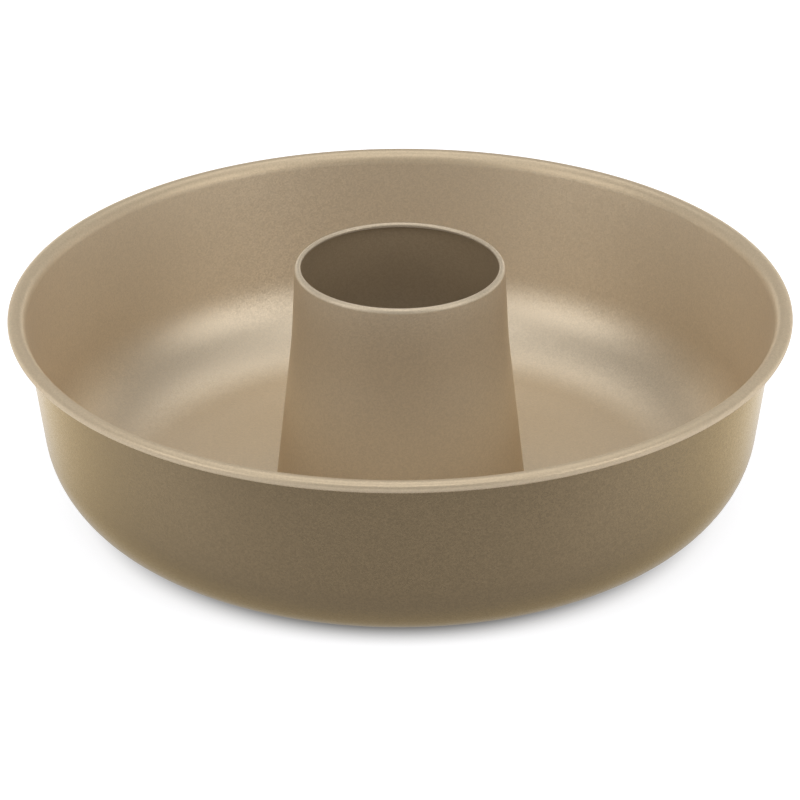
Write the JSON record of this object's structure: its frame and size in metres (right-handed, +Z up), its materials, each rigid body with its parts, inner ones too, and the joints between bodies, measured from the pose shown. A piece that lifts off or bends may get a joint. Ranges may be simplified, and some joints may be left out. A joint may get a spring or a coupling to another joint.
{
  "type": "savarin mould",
  "caption": "Round ring-cake mould in coated steel: a drawn pan with a large corner radius and rolled rim, and a tapered open tube clinched into its floor.",
  "frame": {"origin": "centre of the circle the mould stands on, at the table", "axes": "+Z up along the axis of the pan and the tube; the mould is round, so +X and +Y are any two directions across it"},
  "size_m": [0.252, 0.252, 0.0803],
  "materials": {
    "pan_coating": "metallic non-stick coating, satin, champagne",
    "tube_coating": "metallic non-stick coating, satin, champagne"
  },
  "bodies": {
    "root": {"pan_body": "pan_coating", "centre_tube": "tube_coating"}
  },
  "joints": []
}
